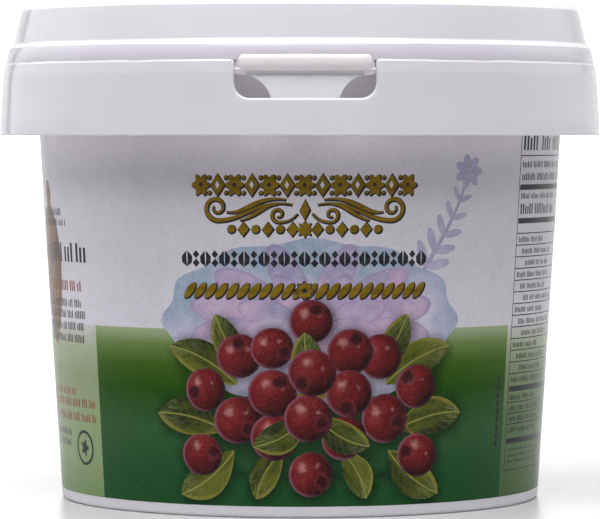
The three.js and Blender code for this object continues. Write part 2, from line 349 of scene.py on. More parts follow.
def moulded_plastic(name, colour, roughness=0.12):
    """White polypropylene: satin skin with a fine orange peel, faint clouding and rub marks."""
    shader = Shader(name)
    place = shader.place()
    cloud = shader.noise(place, 38, 3)
    peel = shader.noise(place, 1500, 2)
    grain = shader.noise(place, 5200, 1)
    rubbed = shader.noise(shader.scaled(place, (60, 60, 900)), 3, 4, 0.6)
    tint = shader.mix(shader.span(cloud, 0.3, 0.7), tuple(c * 0.97 for c in colour), colour)
    specks = shader.span(shader.noise(place, 520, 1), 0.80, 0.84)
    shader.set(
        Base_Color=shader.mix(shader.times(specks, 0.14), tint, (0.45, 0.42, 0.42)),
        Roughness=shader.span(rubbed, 0.3, 0.75, roughness - 0.05, roughness + 0.08),
        Subsurface_Weight=0.3,
        Subsurface_Radius=(0.0030, 0.0026, 0.0025),
        Subsurface_Scale=1.0,
        IOR=1.49,
    )
    shader.bump((peel, 0.000012), (grain, 0.000004), (cloud, 0.00008))
    return shader.material


lid_plastic = moulded_plastic("lid_plastic", (0.67, 0.65, 0.70))
tub_plastic = moulded_plastic("tub_plastic", (0.64, 0.615, 0.67))
tab_plastic = moulded_plastic("tab_plastic", (0.71, 0.67, 0.695))
# A lighter copy of the tub's plastic: painted light that lifts the shade in the hollow under the collar, and
# a painted highlight along the collar's lip.
lit_tub_plastic = moulded_plastic("tub_plastic_painted_light", (0.90, 0.86, 0.90))
# A lighter copy of the lid's plastic for the flap below the lid's edge: painted light that lifts the shade in
# the window's recess.
lit_flap_plastic = moulded_plastic("lid_plastic_flap_painted_light", (0.77, 0.74, 0.80))
# A much lighter copy of the lid's plastic: a painted highlight on the bevel under the ledge and on the dome's
# top rim.
painted_highlight_plastic = moulded_plastic("lid_plastic_painted_highlight", (0.90, 0.89, 0.92))
# A darker copy of the lid's plastic: painted shade on the skirt band between the bevel and the joint.
shaded_skirt_plastic = moulded_plastic("lid_plastic_painted_shade", (0.618, 0.583, 0.65))


# The tub

def collar_wave(degrees, height):
    """How far the collar's upper edge wavers, as thin moulded edges do."""
    turn = math.radians(degrees)
    slow = noise.noise(Vector((3 * math.cos(turn), 3 * math.sin(turn), 4.2)))
    quick = noise.noise(Vector((14 * math.cos(turn), 14 * math.sin(turn), 1.3)))
    whole = max(0.0, min(1.0, (height - (COLLAR_TOP - 2.5)) / 2))
    lip = max(0.0, min(1.0, (height - (COLLAR_TOP - 0.6)) / 0.6))
    return 0.1 * slow * whole + 0.16 * quick * lip


def make_tub():
    web_top = COLLAR_TOP - CLEARANCE
    web_under = web_top - SHELL
    seat_low = LABEL_BOTTOM - 0.1
    seat_high = LABEL_TOP + 0.1
    under, middle, gate_ring, floor = 1.5, 1.8, 2.3, 3.2  # heights of the sunk floor
    profile = rounded([
        (0, middle, 0), (3.2, middle, 0.3), (3.6, gate_ring, 0.3), (6.2, gate_ring, 0.4),
        (6.8, middle, 0.3), (30, middle, 0.4), (30.6, under, 0.3), (42.6, under, 0.8),
        (44.2, 0, 0.5), (FOOT_RADIUS, 0, 0.8),
        (wall_radius(seat_low), seat_low, 0.12), (wall_radius(seat_low) - LABEL_SEAT, seat_low, 0.05),
        (wall_radius(seat_high) - LABEL_SEAT, seat_high, 0.05), (wall_radius(seat_high), seat_high, 0.1),
        (wall_radius(web_under), web_under, 1.0), (COLLAR_TOP_RADIUS - SHELL - 0.1, web_under, 0.6),
        (COLLAR_RADIUS - SHELL - 0.1, 84.4, 2), (COLLAR_RADIUS - SHELL, COLLAR_BOTTOM, 0.4),
        (COLLAR_RADIUS, COLLAR_BOTTOM, 0.36), (COLLAR_RADIUS, COLLAR_STRAIGHT, 12),
        (COLLAR_SHOULDER_RADIUS, COLLAR_SHOULDER, 8), (COLLAR_TOP_RADIUS + 0.1, COLLAR_TOP - 0.45, 0.06),
        (COLLAR_TOP_RADIUS - 0.14, COLLAR_TOP + 0.05, 0.05), (COLLAR_TOP_RADIUS - 0.2, COLLAR_TOP - 0.4, 0),
        (COLLAR_TOP_RADIUS - 0.4, web_top - 0.15, 0.1), (COLLAR_TOP_RADIUS - 1.4, web_top - 0.15, 0.1),
        (wall_radius(web_top), web_top, 0.4), (wall_radius(RIM_TOP - 3.1), RIM_TOP - 3.1, 0.3),
        (RIM_RADIUS, RIM_TOP - 2.5, 0.5), (RIM_RADIUS, RIM_TOP, 1.1), (bore_radius(RIM_TOP), RIM_TOP, 0.6),
        (bore_radius(floor), floor, 2.2), (30, floor, 0), (0, floor, 0),
    ])

    def waver(degrees, r, z):
        return r, z + (collar_wave(degrees, z) if r > 60.2 else 0)

    tub = turned("tub_body", profile, [tub_plastic, lit_tub_plastic], warp=waver)
    face_outward(tub)
    cut_window(tub)
    even_normals(tub)

    # Faces that get the lighter copy: painted light in the hollow under the collar and round the rim, and a
    # painted highlight on the collar's lip.
    def gets_painted_light(radius, height):
        inside = height > LABEL_TOP and wall_radius(LABEL_TOP) - 1 < radius < COLLAR_RADIUS - SHELL + 0.1
        return inside or height > COLLAR_TOP - 0.45 and radius > COLLAR_TOP_RADIUS - 0.3

    tint_faces(tub, 1, gets_painted_light)
    return tub


def tint_faces(obj, slot, wanted):
    """Gives the material in the slot to the faces whose (radius, height) are wanted."""
    for poly in obj.data.polygons:
        radius = math.hypot(poly.center.x, poly.center.y) / MM
        if wanted(radius, poly.center.z / MM):
            poly.material_index = slot


def window_path(inset, top, steps=10):
    """The U of the window's edge as (x, height) points, moved inwards by inset."""
    half = WINDOW_HALF - inset
    corner = WINDOW_CORNER - inset
    low = WINDOW_BOTTOM + inset
    points = [(-half, top)]
    for side, start in ((-1, math.pi), (1, 1.5 * math.pi)):
        for k in range(steps + 1):
            turn = start + 0.5 * math.pi * k / steps
            points.append((
                side * (half - corner) + corner * math.cos(turn),
                low + corner + corner * math.sin(turn),
            ))
    points.append((half, top))
    return points


def collar_radius(height):
    """Outer radius of the collar's wall round the window."""
    if height < COLLAR_SHOULDER:
        share = (height - COLLAR_STRAIGHT) / (COLLAR_SHOULDER - COLLAR_STRAIGHT)
        return COLLAR_RADIUS + (COLLAR_SHOULDER_RADIUS - COLLAR_RADIUS) * share
    share = (height - COLLAR_SHOULDER) / (COLLAR_TOP - COLLAR_SHOULDER)
    return COLLAR_SHOULDER_RADIUS + (COLLAR_TOP_RADIUS - COLLAR_SHOULDER_RADIUS) * share


def cut_window(tub):
    """Cuts the collar's window and rounds its edge with a bead as thick as the collar's wall."""
    outline = window_path(-SHELL / 2, COLLAR_TOP + 1)
    near, far = -COLLAR_RADIUS - 3, -40
    verts = [(x, y, z) for y in (near, far) for x, z in outline]
    count = len(outline)
    faces = [tuple(range(count)), tuple(reversed(range(count, 2 * count)))]
    for k in range(count):
        nxt = (k + 1) % count
        faces.append((k, k + count, nxt + count, nxt))
    cutter = make_object("window_cutter", verts, faces, smooth=False)
    face_outward(cutter)
    core_radius = FLAP_INNER - CLEARANCE
    core = turned("cutter_core", [(0, 70), (core_radius, 70), (core_radius, 95), (0, 95)])
    face_outward(core)
    combine(cutter, core, "DIFFERENCE")
    combine(tub, cutter, "DIFFERENCE")
    bead_half = SHELL / 2 - 0.01
    path = window_path(-SHELL / 2, LID_EDGE - 0.05)
    mid = [Vector(around_window(x, collar_radius(z) - bead_half, z)) for x, z in dense(path, 0.5)]
    bead = swept("window_bead", tube_stations(mid, bead_half, 14), [tub_plastic])
    face_outward(bead)
    combine(tub, bead, "UNION")


def dense(points, step):
    """The same line with points no further apart than step."""
    line = [points[0]]
    for a, b in zip(points, points[1:]):
        length = math.dist(a, b)
        parts = max(1, math.ceil(length / step))
        for k in range(1, parts + 1):
            line.append(tuple(a[i] + (b[i] - a[i]) * k / parts for i in range(2)))
    return line


def around_window(x, radius, height):
    """The point of the collar that lies at x in the front view."""
    return (x, -math.sqrt(radius * radius - x * x), height)


def tube_stations(line, radius, sides):
    """Rings round a line, each with one spoke along the tub's radius."""
    stations = []
    last = len(line) - 1
    for i, point in enumerate(line):
        along = (line[min(i + 1, last)] - line[max(i - 1, 0)]).normalized()
        out = Vector((point.x, point.y, 0)).normalized()
        out = (out - along * out.dot(along)).normalized()
        side = along.cross(out)
        stations.append([
            tuple(point + radius * (out * math.cos(t) + side * math.sin(t)))
            for t in (2 * math.pi * k / sides for k in range(sides))
        ])
    return stations


# The lid

def make_lid():
    def plug(height):
        return bore_radius(height) - CLEARANCE

    roof = HEIGHT - SHELL
    panel = 96.8
    ring = RIM_RADIUS + 2 * CLEARANCE
    ridge = RIM_TOP - 3.4
    ledge, ledge_radius = 94.4, 59.8
    bevel, bevel_radius = 93.3, 60.66
    shelf = ledge - SHELL
    inner = plug(HEIGHT) - SHELL
    skirt_start, skirt_bulge = (LID_EDGE_RADIUS - 0.12, LID_EDGE + 0.5), (61.25, 92.1)
    ring_bulge, ring_end = (59.05, 98.0), (58.25, HEIGHT - 0.95)
    skirt = [bezier(skirt_start, skirt_bulge, (bevel_radius, bevel), k / 10) + (0,) for k in range(9)]
    dome = [bezier((ledge_radius, ledge), ring_bulge, ring_end, k / 8) + (0,) for k in range(1, 8)]
    profile = rounded([
        (0, panel - SHELL - 0.5, 0), (42, panel - SHELL - 0.5, 0.5), (43.5, panel - SHELL, 0.5),
        (plug(95), panel - SHELL, 0.8), (plug(roof), roof, 0.4), (ring - 0.5, roof, 0.8),
        (ring, ridge + 0.9, 0.3), (ring - 0.9, ridge, 0.3), (ring, ridge - 0.9, 0.3),
        (ledge_radius - SHELL, shelf + 0.8, 0.6), (ledge_radius, shelf - 0.4, 0.4),
        (LID_EDGE_RADIUS - SHELL, shelf - SHELL, 0.4), (LID_EDGE_RADIUS - SHELL, LID_EDGE, 0.12),
        (LID_EDGE_RADIUS - 0.12, LID_EDGE, 0.1), *skirt, (bevel_radius, bevel, 0.6),
        (ledge_radius, ledge, 1.0), *dome, (*ring_end, 0.12),
        (57.85, HEIGHT - 0.27, 0.3), (57.2, HEIGHT, 0.4), (inner, HEIGHT, 0.8),
        (plug(panel) - SHELL, panel, 0.9), (43.5, panel, 0.6), (42, panel - 0.5, 0.6),
        (2.6, panel - 0.5, 0.3), (2.2, panel - 0.8, 0.3), (0, panel - 0.8, 0),
    ])

    def stand_back(degrees, r, z):
        return r - (joint_gap(degrees) if r > 60 and z < LID_EDGE + 0.55 else 0), z

    plastics = [lid_plastic, lit_flap_plastic, painted_highlight_plastic, shaded_skirt_plastic]
    lit_flap_slot, highlight_slot, shaded_skirt_slot = 1, 2, 3
    lid = turned("lid_cap", profile, plastics, warp=stand_back)
    face_outward(lid)
    combine(lid, make_flap(), "UNION")
    even_normals(lid)
    # Painted shade: the skirt band between the bevel and the joint gets the darker copy.
    tint_faces(lid, shaded_skirt_slot, lambda r, z: r > 60.3 and LID_EDGE < z < bevel + 0.2)
    # Painted light: the flap below the lid's edge gets the lighter copy.
    tint_faces(lid, lit_flap_slot, lambda r, z: z < LID_EDGE - 0.05)
    # Painted highlight: the bevel under the ledge and the dome's top rim get the lightest copy.
    tint_faces(lid, highlight_slot, lambda r, z: (
        r > ledge_radius and bevel + 0.2 < z < ledge - 0.35 or r > 57 and z > HEIGHT - 0.93))
    return lid


def joint_gap(degrees):
    """How far the lid's edge stands back from the collar's lip here and there."""
    turn = math.radians(degrees)
    return 0.15 * max(0.0, noise.noise(Vector((5 * math.cos(turn), 5 * math.sin(turn), 9.1))) - 0.1)


def bezier(a, b, c, t):
    return tuple((1 - t) ** 2 * p + 2 * t * (1 - t) * q + t * t * r for p, q, r in zip(a, b, c))


def make_flap():
    """The lid's front flap: as wide as the window at the top, then a tongue with hollowed sides."""
    shoulder, tongue, low, top = WINDOW_HALF - 0.15, 6.4, 80.3, 92.1
    shoulder_low, hollow_x, hollow_z = 87.1, 11.9, 80.8
    right = [(shoulder, top), (shoulder, shoulder_low + 0.3)]
    for k in range(15):
        turn = math.pi / 2 * (1 + k / 14)
        right.append((
            hollow_x + (hollow_x - tongue) * math.cos(turn),
            hollow_z + (shoulder_low - hollow_z) * math.sin(turn),
        ))
    right += [(tongue, low + 1), (tongue - 1, low)]
    outline = right + [(-x, z) for x, z in reversed(right)]
    flap = curved_plate("lid_flap", outline, FLAP_INNER, FLAP_OUTER, [lid_plastic])
    groove_half, groove_high = 11.4, shoulder_low + 1.5
    groove = curved_plate("groove", [
        (-groove_half, shoulder_low), (groove_half, shoulder_low), (groove_half, groove_high),
        (-groove_half, groove_high),
    ], FLAP_OUTER - 0.5, FLAP_OUTER + 1, [lid_plastic])
    combine(flap, groove, "DIFFERENCE")
    return flap


def curved_plate(name, outline, inner, outer, materials):
    """A plate of the outline's shape, bent round the tub's axis between two radii."""
    spaced = dense(outline + [outline[0]], 1.0)[:-1]
    count = len(spaced)
    rim = list(range(count))
    inside = grid_inside(spaced, 1.6)
    points = [Vector(p) for p in spaced + inside]
    edges = [(i, (i + 1) % count) for i in range(count)]
    flat, _, triangles, _, _, _ = geometry.delaunay_2d_cdt(points, edges, [], 1, 1e-5)
    front = [around_window(p.x, outer, p.y) for p in flat]
    back = [around_window(p.x, inner, p.y) for p in flat]
    size = len(flat)
    faces = [tuple(t) for t in triangles] + [tuple(size + i for i in reversed(t)) for t in triangles]
    faces += [(i, j, j + size, i + size) for i, j in zip(rim, rim[1:] + rim[:1])]
    plate = make_object(name, front + back, faces, materials)
    face_outward(plate)
    return plate


def grid_inside(outline, step):
    """Grid points well inside a closed outline."""
    xs = [p[0] for p in outline]
    zs = [p[1] for p in outline]
    found = []
    for i in range(int((max(xs) - min(xs)) / step) + 1):
        for j in range(int((max(zs) - min(zs)) / step) + 1):
            x, z = min(xs) + i * step, min(zs) + j * step
            if contains(outline, x, z) and min(math.dist((x, z), p) for p in outline) > step / 2:
                found.append((x, z))
    return found


def contains(outline, x, z):
    inside = False
    for (x1, z1), (x2, z2) in zip(outline, outline[1:] + outline[:1]):
        if (z1 > z) != (z2 > z) and x < x1 + (z - z1) * (x2 - x1) / (z2 - z1):
            inside = not inside
    return inside


# The tear tab

def make_tear_tab():
    half = WINDOW_HALF - 0.7
    low, high = BAR_BOTTOM, BAR_TOP
    back = FLAP_OUTER + CLEARANCE
    lip = LID_EDGE_RADIUS + CLEARANCE
    front, bow = COLLAR_RADIUS - 0.2, 0.58
    face = [(front - bow * (k / 5 - 1) ** 2, low + (high - low) * k / 10, 0) for k in range(1, 10)]
    section = rounded([
        (back, (low + COLLAR_TOP) / 2, 0), (back, low, 0.2), (front - bow, low, 0.12), *face,
        (front - bow, high, 0.04), (lip, high, 0.04), (lip, COLLAR_TOP, 0.1), (back, COLLAR_TOP, 0.15),
        (back, (low + COLLAR_TOP) / 2, 0),
    ])[:-1]
    centre = Vector((62, (low + high) / 2))
    end = 1.1
    stations = []
    spots = [-half + end * (1 - math.cos(math.pi / 2 * k / 8)) for k in range(9)]
    spots += [-half + end + (2 * half - 2 * end) * k / 40 for k in range(1, 40)]
    spots += [-x for x in reversed(spots[:9])]
    for x in spots:
        reach = max(0.0, abs(x) - (half - end)) / end
        size = max(0.12, math.sqrt(max(0.0, 1 - reach * reach))) ** 0.6
        ring = []
        for r, z in section:
            point = centre + (Vector((r, z)) - centre) * size
            ring.append(around_window(x, point.x, point.y))
        stations.append(ring)
    tab = swept("tear_tab_bar", stations, [tab_plastic])
    face_outward(tab)
    for side in (-1, 1):
        nib = tube_stations([
            Vector(around_window(side * x, COLLAR_TOP_RADIUS + 0.2, low + 0.3))
            for x in (half - 0.8, half - 0.1, half + 0.3, WINDOW_HALF - 0.05)
        ], 0.3, 8)
        piece = swept("nib", nib, [tab_plastic])
        face_outward(piece)
        combine(tab, piece, "UNION")
    even_normals(tab, 50)
    return tab


# The label's print is drawn flat: s runs round the tub from the front's centre, z is the height.

R_REF = 52.4  # radius at which s is measured
ROUND = 2 * math.pi * R_REF
INKS = (
    "paper", "front_green", "side_green", "wash", "petal", "sprig", "fruit", "leaf", "twig", "gold",
    "dark_ink", "red_ink", "wood", "film",
)


def arc(degrees):
    return R_REF * math.radians(degrees)


FRONT_LEFT, FRONT_RIGHT = arc(-53.2), arc(52.6)
SEAM = arc(-125.6)
BACK_SHIFT = ROUND + SEAM - FRONT_RIGHT  # the back repeats the front panel and ends at the seam
SEAM_GAP = 0.8
PRINT_BASE = 0.35  # the print's heights are measured from here
PANEL_TOP = 36.9  # upper edge of the green panels


class Drawing:
    """Flat shapes in layers: a later shape covers an earlier one."""

    def __init__(self):
        self.shapes = []
        self.discs = []
        self.loose = []
        self.shift = 0.0
        self.random = random.Random(7)

    def add(self, ink, outline, centre=(0, 0), turn=0.0, length=1.0, width=1.0, bend=0.0):
        """A shape, with the frame that its ink's own coordinates are measured in."""
        moved = anticlockwise([(s + self.shift, z + PRINT_BASE) for s, z in outline])
        origin = (centre[0] + self.shift, centre[1] + PRINT_BASE)
        frame = (*origin, math.cos(turn), math.sin(turn), length, width, bend, self.random.random())
        self.shapes.append((INKS.index(ink), dense(moved + moved[:1], 1.2)[:-1], frame))

    def box(self, ink, left, right, low, high):
        self.add(ink, [(left, low), (right, low), (right, high), (left, high)])

    def blob(self, ink, s, z, reach, height=None, lobes=0, depth=0.0, turn=0.0, sides=None):
        """An ellipse, or with lobes a rosette."""
        height = height or reach
        sides = sides or max(8, int(4 * reach) + 6) if not lobes else lobes * 8
        outline = []
        for k in range(sides):
            angle = 2 * math.pi * k / sides
            size = 1 - depth * (0.5 - 0.5 * math.cos(lobes * angle)) if lobes else 1
            x, y = reach * size * math.cos(angle), height * size * math.sin(angle)
            outline.append((
                s + x * math.cos(turn) - y * math.sin(turn),
                z + x * math.sin(turn) + y * math.cos(turn),
            ))
        self.add(ink, outline, (s, z), turn, reach, height)

    def lozenge(self, ink, s, z, half_width, half_height):
        self.add(ink, [(s - half_width, z), (s, z - half_height), (s + half_width, z), (s, z + half_height)])

    def stroke(self, ink, line, widths):
        """A line of changing width, as a row of overlapping four-sided shapes."""
        sides = []
        for i, (s, z) in enumerate(line):
            before, after = line[max(0, i - 1)], line[min(len(line) - 1, i + 1)]
            ds, dz = after[0] - before[0], after[1] - before[1]
            size = math.hypot(ds, dz) or 1
            half = widths[i] / 2
            across, up = dz / size * half, ds / size * half
            sides.append(((s - across, z + up), (s + across, z - up)))
        for (a, b), (c, d) in zip(sides, sides[1:]):
            self.add(ink, [a, b, d, c])

    def fruit(self, s, z, radius):
        s += self.random.uniform(-0.8, 0.8)
        z += self.random.uniform(-0.7, 0.7)
        radius *= self.random.uniform(0.96, 1.07)
        height = radius * self.random.uniform(0.92, 1)
        turn = self.random.uniform(-0.5, 0.5)
        self.blob("fruit", s, z, radius, height, turn=turn)
        self.discs.append((s + self.shift, z + PRINT_BASE, radius))

    def leaf(self, root, tip, width, bend=0.0):
        """A pointed leaf from root to tip, its midrib bowed by bend times its length."""
        ds, dz = tip[0] - root[0], tip[1] - root[1]
        length = math.hypot(ds, dz)
        turn = math.atan2(dz, ds)

        def place(t, side):
            bow = bend * length * 4 * t * (1 - t)
            across = bow + side
            return (root[0] + ds * t - dz / length * across, root[1] + dz * t + ds / length * across)

        def half(t):
            return width * math.sin(math.pi * t ** 1.15) ** 0.68

        steps = [k / 14 for k in range(15)]
        outline = [place(t, half(t)) for t in steps] + [place(t, -half(t)) for t in reversed(steps[1:-1])]
        self.add("leaf", outline, root, turn, length, width, bend)
        for t in steps[1:-1]:
            s, z = place(t, 0)
            self.loose.append((s + self.shift, z + PRINT_BASE))
            if 2 < steps.index(t) < 12:
                self.discs.append((s + self.shift, z + PRINT_BASE, half(t) * 0.9))

    def words(self, ink, left, right, z, height, longest=6.0, gap=0.5):
        """Uneven groups of short upright strokes in place of a printed line."""
        stroke = 0.13 + 0.19 * height
        s = left
        while s < right - 1:
            end = min(right, s + self.random.uniform(0.35, 1) * longest)
            while s < end - stroke:
                drop = self.random.choice((0, 0, 0.22)) * height
                self.box(ink, s, s + stroke, z, z + height - drop)
                s += stroke * 1.75
            s += gap + 0.4 * stroke


def anticlockwise(outline):
    area = sum(a[0] * b[1] - b[0] * a[1] for a, b in zip(outline, outline[1:] + outline[:1]))
    return outline if area > 0 else outline[::-1]


def cubic(a, b, c, d, steps):
    points = []
    for k in range(steps + 1):
        t = k / steps
        points.append(tuple(
            (1 - t) ** 3 * a[i] + 3 * t * (1 - t) ** 2 * b[i] + 3 * t * t * (1 - t) * c[i] + t ** 3 * d[i]
            for i in range(2)))
    return points


def volute(centre, inner, outer, turns, steps=30):
    """A spiral that unwinds clockwise and leaves its lowest point leftwards."""
    points = []
    for k in range(steps + 1):
        t = k / steps
        angle = -math.pi / 2 + 2 * math.pi * turns * (1 - t)
        radius = inner + (outer - inner) * t ** 1.2
        points.append((centre[0] + radius * math.cos(angle), centre[1] + radius * math.sin(angle)))
    return points


def tapered(count, thin, thick):
    """Widths of a stroke that swells towards its middle."""
    swell = [math.sin(math.pi * (0.04 + 0.92 * k / (count - 1))) ** 1.5 for k in range(count)]
    return [thin + (thick - thin) * share for share in swell]


def row(reach, count):
    """Centres of motifs that stand side by side between -reach and reach."""
    pitch = 2 * reach / count
    return [-reach + pitch * (k + 0.5) for k in range(count)]


def gilded(draw):
    """Draws a motif twice: a dark, slightly larger and lower copy, then the gold one."""
    draw("dark_ink", 0.42, 0.16, -0.16)
    draw("gold", 0.0, 0.0, 0.0)


def draw_title(drawing):
    """A row of rosettes and lozenges between dots."""
    low, high, reach = 63.5, 67.4, 22.0
    middle = (low + high) / 2
    count = 13
    centres = row(reach, count)

    def draw(ink, grow, ds, dz):
        for k, s in enumerate(centres):
            if k % 2 == 0:
                drawing.blob(ink, s + ds, middle + dz, 1.85 + grow / 2, 2.3 + grow / 2, lobes=6, depth=0.34)
            else:
                drawing.lozenge(ink, s + ds, middle + dz, 1.4 + grow * 0.7, 2.2 + grow * 0.8)
        for k in range(1, count):
            s = -reach + 2 * reach / count * k + ds
            for side in (-1, 1):
                drawing.blob(ink, s, middle + dz + side * 1.5, 0.36 + grow / 2, sides=8)

    gilded(draw)
    for s in centres[1::2]:
        drawing.lozenge("paper", s, middle, 0.42, 0.8)
    for s in centres[::2]:
        drawing.blob("dark_ink", s, middle, 0.42, sides=8)


def draw_scrolls(drawing):
    """A symmetrical pair of running scrolls that meet in a lozenge."""
    outer = volute((17.2, 61.0), 0.6, 2.5, 1.35)
    outer += cubic(outer[-1], (11.5, 58.4), (9.0, 63.0), (2.4, 61.6), 24)[1:]
    upper = cubic((15.3, 60.2), (11.5, 59.4), (9.6, 63.6), (3.6, 62.6), 24)
    lower = cubic((12.6, 58.5), (9.4, 59.2), (8.2, 61.5), (5.2, 61.7), 20)
    inner = volute((5.1, 59.7), 0.45, 1.5, 1.1, 22)
    inner += cubic(inner[-1], (3.6, 58.15), (2.4, 58.6), (1.4, 59.9), 10)[1:]
    lines = ((outer, 0.2, 0.74), (upper, 0.2, 0.8), (lower, 0.16, 0.66), (inner, 0.2, 0.52))

    def draw(ink, grow, ds, dz):
        for side in (-1, 1):
            for line, thin, thick in lines:
                moved = [(side * s + ds, z + dz) for s, z in line]
                drawing.stroke(ink, moved, [w + grow for w in tapered(len(line), thin, thick)])
        drawing.lozenge(ink, ds, 60.6 + dz, 0.9 + grow * 0.7, 1.9 + grow)

    gilded(draw)


def draw_small_row(drawing):
    """Small lozenges and dots with a rosette in the middle."""
    middle, reach, count = 56.8, 15.5, 13

    def draw(ink, grow, ds, dz):
        for k, s in enumerate(row(reach, count)):
            if k == count // 2:
                drawing.blob(ink, s + ds, middle + dz, 1.6 + grow / 2, lobes=8, depth=0.35)
            elif k % 2 == 0:
                drawing.blob(ink, s + ds, middle + dz, 0.78 + grow / 2, sides=10)
            else:
                drawing.lozenge(ink, s + ds, middle + dz, 1.05 + grow * 0.7, 1.4 + grow * 0.7)

    gilded(draw)


def draw_dark_row(drawing):
    """A dark border of upright leaves between pairs of dots."""
    low, high, reach, count = 49.3, 52.5, 24.6, 25
    middle = (low + high) / 2
    for k, s in enumerate(row(reach, count)):
        if k % 2 == 0:
            for side in (-1, 1):
                drawing.add("dark_ink", [
                    (s, low), (s + side * 1.06, low + 0.8), (s + side * 1.14, middle + 0.4),
                    (s + side * 0.12, high), (s + side * 0.12, middle - 0.1),
                ])
        else:
            drawing.lozenge("dark_ink", s, middle + 0.85, 0.7, 0.82)
            drawing.lozenge("dark_ink", s, middle - 0.85, 0.76, 0.85)


def draw_rope(drawing):
    """A gold rope between two thin lines."""
    low, high, reach, count = 43.0, 46.3, 24.3, 22
    middle, half = (low + high) / 2, (high - low) / 2
    slant = math.radians(52)

    def draw(ink, grow, ds, dz):
        for s in row(reach, count):
            drawing.blob(ink, s + ds, middle + dz, 1.85 + grow / 2, 0.74 + grow / 2, turn=slant, sides=16)

    gilded(draw)
    for ink, size in (("dark_ink", 2.0), ("gold", 1.7)):
        drawing.blob(ink, 0, middle, size, size, lobes=8, depth=0.25)
    drawing.blob("dark_ink", 0, middle, half * 0.3, sides=10)


def draw_plate(drawing):
    """A scalloped plate washed in pale blue and lilac, with petals round its middle."""
    centre = (1.5, 38.5)
    wide, tall = 29, 14.5
    drawing.blob("wash", *centre, 31.5, 16.6, lobes=12, depth=0.06)
    for ring, count, reach in ((0.62, 12, 7.4), (0.34, 8, 6.0)):
        for k in range(count):
            angle = 2 * math.pi * (k + 0.5) / count
            s = centre[0] + wide * ring * math.cos(angle)
            z = centre[1] + tall * ring * math.sin(angle)
            turn = math.atan2(tall * math.sin(angle), wide * math.cos(angle))
            drawing.blob("petal", s, z, reach, reach * 0.42, turn=turn, sides=26)


def draw_sprig(drawing):
    """A lilac sprig that rises from the plate's right side and ends in a round blossom."""
    stem = cubic((22, 44), (25, 51), (31, 57), (33.5, 66), 20)
    drawing.stroke("sprig", stem, [1.2 - 0.6 * k / 20 for k in range(21)])
    for k in range(5, 18, 3):
        lean = math.atan2(stem[k + 1][1] - stem[k - 1][1], stem[k + 1][0] - stem[k - 1][0])
        reach = 3.3 - 0.1 * k
        for side in (-1, 1):
            turn = lean + 0.85 * side
            s, z = stem[k][0] + reach * math.cos(turn), stem[k][1] + reach * math.sin(turn)
            drawing.blob("sprig", s, z, reach, reach * 0.36, turn=turn)
    s, z, petals, out = 34.2, 68, 7, 1.7
    for k in range(petals):
        turn = 2 * math.pi * k / petals
        drawing.blob("sprig", s + out * math.cos(turn), z + out * math.sin(turn), 1.8, 0.95, turn=turn)
    drawing.blob("sprig", s, z, 0.8, sides=10)


def draw_sprays(drawing):
    """Two mirrored sprays of round fruit with pointed leaves, and a cluster between them."""
    centre = 1.5
    for side in (-1, 1):
        def at(s, z):
            return (centre + side * s, z)

        drawing.leaf(at(15, 26), at(29.5, 33.5), 3.5, 0.08 * side)
        drawing.leaf(at(12, 28), at(19.5, 40), 3.0, -0.06 * side)
        drawing.leaf(at(18, 17), at(33, 20), 3.7, 0.07 * side)
        drawing.leaf(at(16, 13), at(28, 3.9), 3.7, -0.08 * side)
        drawing.leaf(at(6, 13), at(11.5, 3.4), 3.0, 0.08 * side)
        twig = cubic(at(0, 23), at(8, 27), at(15, 24), at(24, 13), 22)
        drawing.stroke("twig", twig, [0.9 - 0.4 * k / 22 for k in range(23)])
        for s, z, radius in (
            (21.8, 25.5, 4.3), (14.6, 31.3, 4.5), (23.0, 12.4, 4.4), (7.5, 33.2, 4.5), (14.8, 19.4, 4.8),
            (7.2, 15.8, 4.6), (7.9, 24.6, 4.8),
        ):
            drawing.fruit(*at(s, z), radius)
    drawing.fruit(centre, 9.0, 4.6)
    drawing.leaf((centre - 1, 20), (centre - 12, 13.8), 3.2, 0.1)
    drawing.leaf((centre + 1, 20), (centre + 12, 13.8), 3.2, -0.1)
    drawing.fruit(centre, 19.4, 4.9)
    drawing.fruit(centre, 38.2, 4.4)
    drawing.leaf((centre + 1, 24), (centre - 1.5, 36.5), 3.2, 0.05)
    drawing.fruit(centre, 28.6, 4.8)


def draw_front(drawing):
    drawing.box("front_green", FRONT_LEFT, FRONT_RIGHT, 0, PANEL_TOP)
    draw_sprig(drawing)
    draw_plate(drawing)
    draw_sprays(drawing)
    draw_title(drawing)
    draw_scrolls(drawing)
    draw_small_row(drawing)
    draw_dark_row(drawing)
    draw_rope(drawing)
    for k in range(9):
        drawing.box("dark_ink", FRONT_RIGHT - 2.6, FRONT_RIGHT - 1.8, 12.5 + 1.6 * k, 13.7 + 1.6 * k)


